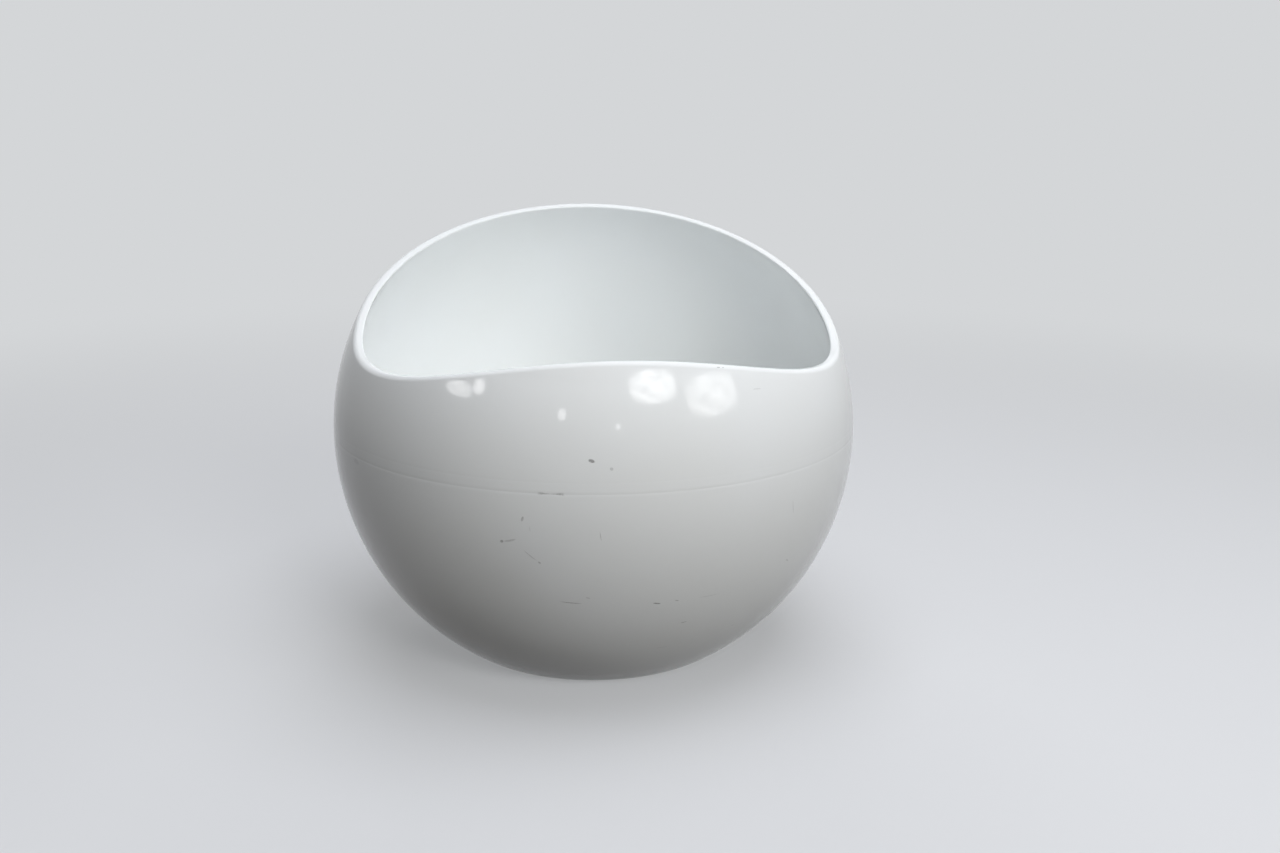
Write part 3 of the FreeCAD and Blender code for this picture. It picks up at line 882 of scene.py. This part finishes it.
def turned_brass():
    """Free-cutting brass, turned. Warm metal with fine tool rings and slightly dulled patches."""
    colours = bpy.context.scene.chair_colours
    material, tree, position = new_material("turned_brass")
    rings = add(tree, "TexWave", {
        "Vector": position, "Scale": per_metre(6), "Distortion": 1.0, "Detail": 2.0
    }, output="Fac", bands_direction="Z")
    dull = add(tree, "TexNoise", {"Vector": position, "Scale": per_metre(5), "Detail": 3.0})
    dark = tuple(c * 0.7 for c in colours.brass[:3]) + (1.0,)
    metal = add(tree, "Mix", {"Factor": dull, "A": colours.brass, "B": dark}, data_type="RGBA")
    rough = add(tree, "MapRange", {"Value": dull, "To Min": 0.2, "To Max": 0.45})
    cut = add(tree, "Bump", {"Height": rings, "Strength": 1.0, "Distance": 0.00002})
    return surfaced(material, {"Base Color": metal, "Roughness": rough, "Normal": cut, "Metallic": 1.0})


def moulded_nylon():
    """Injection-moulded black nylon. Fine spark texture, and the face on the floor is scratched paler."""
    colours = bpy.context.scene.chair_colours
    material, tree, position = new_material("moulded_black_nylon")
    height = add(tree, "SeparateXYZ", {0: position}, output="Z")
    low = add(tree, "MapRange", {
        "Value": height, "From Min": 0.0012, "From Max": 0.0, "To Min": 0.0, "To Max": 1.0
    })
    dragged = add(tree, "Mapping", {
        "Vector": position, "Rotation": (0, 0, 0.6),
        "Scale": (per_metre(25), per_metre(0.7), per_metre(0.7))
    })
    scratches = add(tree, "TexNoise", {"Vector": dragged, "Scale": 1.0, "Detail": 3.0})
    worn = add(tree, "MapRange", {"Value": scratches, "To Max": low, "From Min": 0.45, "From Max": 0.65})
    plastic = add(tree, "Mix", {
        "Factor": worn, "A": colours.nylon, "B": colours.nylon_worn
    }, data_type="RGBA")
    sparks = add(tree, "TexNoise", {"Vector": position, "Scale": per_metre(0.5), "Detail": 2.0})
    texture = add(tree, "Bump", {"Height": sparks, "Strength": 1.0, "Distance": 0.00003})
    rough = add(tree, "MapRange", {"Value": worn, "To Min": 0.42, "To Max": 0.65})
    return surfaced(material, {"Base Color": plastic, "Roughness": rough, "Normal": texture, "IOR": 1.53})


def finish_node(name, material):
    """Gives a CAD node that keeps its shape its real finish."""
    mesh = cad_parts[name].data
    mesh.materials.clear()
    mesh.materials.append(material)


# Operators

class CHAIR_OT_lower_shell(bpy.types.Operator):
    """Turns the lower shell with its rebate, flange and rounded foot"""
    bl_idname = "chair.lower_shell"
    bl_label = "Lower shell"

    def execute(self, context):
        s = chair_shape()
        bm = turned_shell(s, lower_shell_legs)
        foot_edges = ring_edges(bm, s.base_radius, s.floor_gap)
        bmesh.ops.bevel(
            bm, geom=foot_edges, offset=s.foot_round, offset_type="OFFSET", segments=4, profile=0.5,
            affect="EDGES", material=-1)
        add_piece(bm, "lower_bowl", "lower_shell", lacquer())
        return {"FINISHED"}


class CHAIR_OT_upper_shell(bpy.types.Operator):
    """Turns the upper shell up to and over its rolled lip"""
    bl_idname = "chair.upper_shell"
    bl_label = "Upper shell and lip"

    def execute(self, context):
        bm = turned_shell(chair_shape(), upper_shell_legs, leaning=True)
        add_piece(bm, "upper_dome", "upper_shell", lacquer())
        return {"FINISHED"}


class CHAIR_OT_seat_shell(bpy.types.Operator):
    """Turns the scooped seat with its joggled edge"""
    bl_idname = "chair.seat_shell"
    bl_label = "Seat shell"

    def execute(self, context):
        bm = turned_shell(chair_shape(), seat_shell_legs, leaning=True)
        add_piece(bm, "seat_scoop", "seat_shell", lacquer())
        return {"FINISHED"}


class CHAIR_OT_seam_filler(bpy.types.Operator):
    """Turns the filled band over the joint of the two shells"""
    bl_idname = "chair.seam_filler"
    bl_label = "Filled band"

    def execute(self, context):
        bm = turned_shell(chair_shape(), seam_filler_legs)
        add_piece(bm, "filled_band", "seam_filler", lacquer())
        return {"FINISHED"}


class CHAIR_OT_joint_band(bpy.types.Operator):
    """Turns the strip of laminate behind the joint"""
    bl_idname = "chair.joint_band"
    bl_label = "Joint band"

    def execute(self, context):
        bm = turned_shell(chair_shape(), joint_band_legs)
        add_piece(bm, "joint_strip", "joint_band", bare_laminate())
        return {"FINISHED"}


class CHAIR_OT_inside_parts(bpy.types.Operator):
    """Finishes the plywood, felt, steel and brass parts inside the chair"""
    bl_idname = "chair.inside_parts"
    bl_label = "Inside parts"

    def execute(self, context):
        finish_node("base_plate", birch_plywood("birch_plywood_base", across=2, along=0))
        finish_node("rib_left_right", birch_plywood("birch_plywood_left_right", across=1, along=0))
        finish_node("rib_front_back", birch_plywood("birch_plywood_front_back", across=0, along=1))
        finish_node("rib_pads", pressed_felt())
        finish_node("rib_brackets", shared("bright_zinc_plated_steel", zinc_plate))
        finish_node("base_inserts", turned_brass())
        return {"FINISHED"}


class CHAIR_OT_screws(bpy.types.Operator):
    """Turns the screws under the plate, in the brackets and in the glides"""
    bl_idname = "chair.screws"
    bl_label = "Screws"

    def execute(self, context):
        zinc = shared("bright_zinc_plated_steel", zinc_plate)
        head_down = Matrix.Rotation(math.pi, 4, "X")

        # Pan head M5, 9.5 mm across and 2.7 mm high, with a 3 mm hexagon socket.
        low, high = (corner[2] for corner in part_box("base_screws"))
        head_radius = 0.00475
        head_height = 0.0027
        outline = hexagon_socket(0.0, 0.0015, 0.0015, 0.0003, 0.0002)
        outline += arc_rows(0.0031, -0.0013, 0.00165, 78, 0, 6)
        outline += [(head_radius, 0.0002 - head_height), (head_radius - 0.00025, -head_height)]
        outline += shank(-head_height, 0.0025, low - high, 0.0019, 0.0002)
        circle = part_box("base_screws")[1][1] - head_radius
        places = [place @ head_down for place in around(6, circle, low, math.radians(30))]
        add_turned_parts(
            "pan_head_screws", "base_screws", "zinc_steel", zinc, outline, places, hexagon_rows=HEXAGON_ROWS)

        # Countersunk 4 mm, 8 mm across, with a 2.5 mm hexagon socket.
        low, high = (corner[2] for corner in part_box("glide_screws"))
        head_radius = 0.004
        outline = hexagon_socket(0.0, 0.00125, 0.0014, 0.00025, 0.0001)
        outline += [(0.0037, 0.0), (head_radius, -0.0002), (head_radius, -0.0003)]
        outline += shank(-0.0022, 0.002, low - high, 0.0004, 0.0025)
        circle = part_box("glide_screws")[1][0] - head_radius
        places = [place @ head_down for place in around(6, circle, low)]
        add_turned_parts(
            "glide_countersunk_screws", "glide_screws", "zinc_steel", zinc, outline, places,
            hexagon_rows=HEXAGON_ROWS)

        # Round head 4 mm, 8 mm across and 2.2 mm high, two in each bracket.
        outline = hexagon_socket(0.0022, 0.00125, 0.0014, 0.00025, 0.0001)
        outline += arc_rows(0.0024, 0.0006, 0.0016, 75, 0, 6)
        outline += [(0.004, 0.0)]
        outline += shank(0.0, 0.002, -0.009, 0.0004, 0.0025)
        bracket_thickness = 0.0025
        arm = 0.080
        plate_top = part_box("base_plate")[1][2]
        into_plate = Matrix.Translation((0.024, arm, plate_top + bracket_thickness))
        into_rib = Matrix.Translation((0.0085, arm, plate_top + 0.018))
        into_rib @= Matrix.Rotation(math.radians(90), 4, "Y")
        quarters = [Matrix.Rotation(math.radians(90 * i), 4, "Z") for i in range(4)]
        places = [quarter @ screw for quarter in quarters for screw in (into_plate, into_rib)]
        add_turned_parts(
            "bracket_round_head_screws", "bracket_screws", "zinc_steel", zinc, outline, places,
            hexagon_rows=HEXAGON_ROWS)
        return {"FINISHED"}


class CHAIR_OT_glides(bpy.types.Operator):
    """Turns the six low glides with their countersunk wells"""
    bl_idname = "chair.glides"
    bl_label = "Glides"

    def execute(self, context):
        radius = 0.016
        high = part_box("glides")[1][2]
        # The screw's well, a rounded floor with a shallow groove, and the side up to the plate.
        outline = [(0.0023, 0.0032), (0.0043, 0.0012), (0.0043, 0.0004)]
        outline += arc_rows(0.0049, 0.0006, 0.0006, 180, 270, 4)
        outline += [(0.0092, 0.0), (0.0095, 0.0003), (0.0101, 0.0003), (0.0104, 0.0)]
        outline += arc_rows(radius - 0.0015, 0.0015, 0.0015, 270, 360, 8)
        outline += [(radius, high - 0.0004), (radius - 0.0004, high), (0.0023, high)]
        places = around(6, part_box("glides")[1][0] - radius, 0.0)
        add_turned_parts(
            "nylon_glides", "glides", "glide_plastic", moulded_nylon(), outline, places, closed=True)
        return {"FINISHED"}


class CHAIR_OT_stage(bpy.types.Operator):
    """Makes the floor, cove, lights and camera"""
    bl_idname = "chair.stage"
    bl_label = "Stage"

    def execute(self, context):
        self.floor_and_cove()
        self.world(context)
        self.lights(context)
        self.camera(context)
        context.scene.view_settings.view_transform = "Standard"
        return {"FINISHED"}

    def floor_and_cove(self):
        """A flat disc, and a curved wall round it that only the camera and reflections see."""
        reach = 4.0
        bend = 1.2
        wall = 3.2
        round_steps = 128
        bm = bmesh.new()
        bmesh.ops.create_circle(bm, cap_ends=True, radius=reach, segments=round_steps)
        add_mesh(bm, "floor", self.floor_paint())
        bm = bmesh.new()
        points = arc_rows(reach, bend, bend, 270, 360, 16) + [(reach + bend, wall)]
        verts = [bm.verts.new((r, 0, h)) for r, h in points]
        edges = [bm.edges.new(pair) for pair in zip(verts, verts[1:])]
        bmesh.ops.spin(
            bm, geom=verts + edges, axis=(0, 0, 1), angle=math.tau, steps=round_steps, use_merge=True)
        bmesh.ops.recalc_face_normals(bm, faces=bm.faces)
        soften(bm, 35.0)
        add_mesh(bm, "cove", self.cove_paint())

    def shown_to_camera(self, material, hidden, shown):
        """Ends a paint that shows one surface to the camera, reflections and clear material, and is another
        surface for all other light."""
        tree = material.node_tree
        seen = add(tree, "LightPath", output="Is Camera Ray")
        for name in ("Is Glossy Ray", "Is Transmission Ray"):
            ray = add(tree, "LightPath", output=name)
            seen = add(tree, "Math", {0: seen, 1: ray}, operation="MAXIMUM")
        add(tree, "OutputMaterial", {"Surface": add(tree, "MixShader", {0: seen, 1: hidden, 2: shown})})
        return material

    def floor_paint(self):
        """Matt pale paint that keeps the chair's shadow and fades into the cove. It sends little light up."""
        studio = bpy.context.scene.chair_studio
        material, tree, position = new_material("pale_floor_paint")
        distance = add(tree, "VectorMath", {0: position}, operation="LENGTH")
        far = add(tree, "MapRange", {
            "Value": distance, "From Min": 0.7, "From Max": 2.8, "To Min": 0.4, "To Max": 1.0
        }, interpolation_type="SMOOTHSTEP")
        paint = add(tree, "BsdfDiffuse", {"Color": studio.floor})
        glow = add(tree, "Emission", {"Color": studio.backdrop})
        shown = add(tree, "MixShader", {0: far, 1: paint, 2: glow})
        hidden = add(tree, "BsdfDiffuse", {"Color": studio.floor_bounce})
        return self.shown_to_camera(material, hidden, shown)

    def cove_paint(self):
        """The pale wall round the floor, which lets the room's light through to the chair."""
        studio = bpy.context.scene.chair_studio
        material, tree, _ = new_material("pale_cove_paint")
        glow = add(tree, "Emission", {"Color": studio.backdrop})
        clear = add(tree, "BsdfTransparent")
        return self.shown_to_camera(material, clear, glow)

    def world(self, context):
        studio = context.scene.chair_studio
        world = bpy.data.worlds.new("soft_room")
        world.use_nodes = True
        tree = world.node_tree
        tree.nodes.clear()
        seen = add(tree, "LightPath", output="Is Camera Ray")
        ambient = add(tree, "Background", {"Color": studio.daylight, "Strength": studio.ambient})
        backdrop = add(tree, "Background", {"Color": studio.backdrop, "Strength": 1.0})
        mixed = add(tree, "MixShader", {0: seen, 1: ambient, 2: backdrop})
        add(tree, "OutputWorld", {"Surface": mixed})
        context.scene.world = world

    def lights(self, context):
        studio = context.scene.chair_studio
        centre = (0, 0, 0.25)
        right = (1.001, -2.749, 1.755)
        far_right = (2.188, -2.159, 1.359)
        # What the lacquer mirrors: name, place, aim, width, height and share of the main window's power.
        windows = (
            ("window_right", right, (0.030, -0.279, 0.358), 1.06, 0.78, 1.0),
            ("window_far_right", far_right, (0.089, -0.270, 0.347), 1.27, 0.90, 0.93),
            ("window_left", (-2.761, -1.313, 1.367), (-0.151, -0.239, 0.351), 0.69, 0.34, 0.27),
            ("window_left_small", (-2.489, -1.703, 1.507), (-0.132, -0.249, 0.354), 0.28, 0.32, 0.13),
            ("lamp_middle", (-0.988, -2.988, 1.235), (-0.055, -0.283, 0.333), 0.18, 0.28, 0.056),
            ("lamp_low", (0.231, -3.207, 0.989), (-0.003, -0.291, 0.322), 0.12, 0.15, 0.019),
        )
        for name, place, aim, width, height, share in windows:
            window = self.soft_box(context, name, place, aim, (width, height), studio.windows * share)
            self.mottle(window.data)
        # What lights the chair and isn't mirrored: name, place, width, height, power and tint.
        fills = (
            ("fill_right", right, 1.06, 0.78, studio.fill, studio.daylight),
            ("fill_far_right", far_right, 1.27, 0.90, studio.fill * 0.4, studio.daylight),
            ("fill_top", (0.35, -0.2, 3.0), 2.4, 2.4, studio.overhead, studio.skylight),
            ("fill_front", (0.8, -3.5, 2.6), 2.5, 1.6, studio.front, studio.daylight),
            ("fill_back", (0.0, 3.5, 2.4), 2.5, 1.6, studio.behind, studio.daylight),
        )
        for name, place, width, height, power, tint in fills:
            fill = self.soft_box(context, name, place, centre, (width, height), power)
            fill.data.color = tint[:3]
            fill.visible_glossy = False

    def soft_box(self, context, name, place, aim, size, power):
        """A lamp with a flat face that the camera doesn't see."""
        light = bpy.data.lights.new(name, "AREA")
        light.shape = "RECTANGLE"
        light.size, light.size_y = size
        light.energy = power
        light.color = context.scene.chair_studio.daylight[:3]
        lamp = bpy.data.objects.new(name, light)
        lamp.location = place
        lamp.rotation_euler = (Vector(aim) - Vector(place)).to_track_quat("-Z", "Y").to_euler()
        lamp.visible_camera = False
        context.scene.collection.objects.link(lamp)
        return lamp

    def mottle(self, light):
        """Gives a window soft edges and the uneven light of trees and buildings behind it."""
        light.use_nodes = True
        tree = light.node_tree
        tree.nodes.clear()
        place = add(tree, "NewGeometry", output="Parametric")
        away = add(tree, "VectorMath", {0: place, 1: (0.5, 0.5, 0.0)}, operation="DISTANCE")
        shown = add(tree, "MapRange", {
            "Value": away, "From Min": 0.66, "From Max": 0.36
        }, interpolation_type="SMOOTHSTEP")
        patches = add(tree, "TexNoise", {"Vector": place, "Scale": 3.5, "Detail": 3.0, "Roughness": 0.6})
        uneven = add(tree, "MapRange", {
            "Value": patches, "From Min": 0.35, "From Max": 0.65, "To Min": 0.6, "To Max": 1.7
        })
        strength = add(tree, "Math", {0: shown, 1: uneven}, operation="MULTIPLY")
        glow = add(tree, "Emission", {"Strength": strength})
        add(tree, "OutputLight", {"Surface": glow})

    def camera(self, context):
        data = bpy.data.cameras.new("camera")
        data.sensor_width = 36.0
        data.lens = 33.75
        data.clip_end = 50.0
        camera = bpy.data.objects.new("camera", data)
        heading = Vector((0.122, 0.993, 0)).normalized()
        pitch = math.radians(14.59)
        roll = math.radians(0.38)
        forward = heading * math.cos(pitch) - Vector((0, 0, math.sin(pitch)))
        right = forward.cross(Vector((0, 0, 1))).normalized()
        up = right.cross(forward)
        across = right * math.cos(roll) + up * math.sin(roll)
        upward = up * math.cos(roll) - right * math.sin(roll)
        turn = Matrix((across, upward, -forward)).transposed().to_4x4()
        camera.matrix_world = Matrix.Translation((-0.1153, -1.3694, 0.6047)) @ turn
        context.scene.collection.objects.link(camera)
        context.scene.camera = camera


OPERATORS = (
    CHAIR_OT_lower_shell,
    CHAIR_OT_upper_shell,
    CHAIR_OT_seat_shell,
    CHAIR_OT_seam_filler,
    CHAIR_OT_joint_band,
    CHAIR_OT_inside_parts,
    CHAIR_OT_screws,
    CHAIR_OT_glides,
    CHAIR_OT_stage,
)


class CHAIR_PT_pieces(bpy.types.Panel):
    """Lists the chair's pieces"""
    bl_idname = "CHAIR_PT_pieces"
    bl_label = "Ball lounge chair"
    bl_space_type = "VIEW_3D"
    bl_region_type = "UI"
    bl_category = "Ball chair"

    def draw(self, context):
        column = self.layout.column(align=True)
        for operator in OPERATORS:
            column.operator(operator.bl_idname)
        scene = context.scene
        for group in (scene.chair_sizes, scene.chair_colours, scene.chair_studio):
            box = self.layout.box()
            for prop in group.bl_rna.properties:
                if prop.identifier not in ("rna_type", "name"):
                    box.prop(group, prop.identifier)


CLASSES = (ChairSizes, ChairColours, StudioSettings, *OPERATORS, CHAIR_PT_pieces)


def register():
    for kind in CLASSES:
        bpy.utils.register_class(kind)
    bpy.types.Scene.chair_sizes = PointerProperty(type=ChairSizes)
    bpy.types.Scene.chair_colours = PointerProperty(type=ChairColours)
    bpy.types.Scene.chair_studio = PointerProperty(type=StudioSettings)


def unregister():
    del bpy.types.Scene.chair_studio
    del bpy.types.Scene.chair_colours
    del bpy.types.Scene.chair_sizes
    for kind in reversed(CLASSES):
        bpy.utils.unregister_class(kind)


def main():
    register()
    bpy.ops.chair.lower_shell()
    bpy.ops.chair.upper_shell()
    bpy.ops.chair.seat_shell()
    bpy.ops.chair.seam_filler()
    bpy.ops.chair.joint_band()
    bpy.ops.chair.inside_parts()
    bpy.ops.chair.screws()
    bpy.ops.chair.glides()
    bpy.ops.chair.stage()


if __name__ == "__main__":
    main()
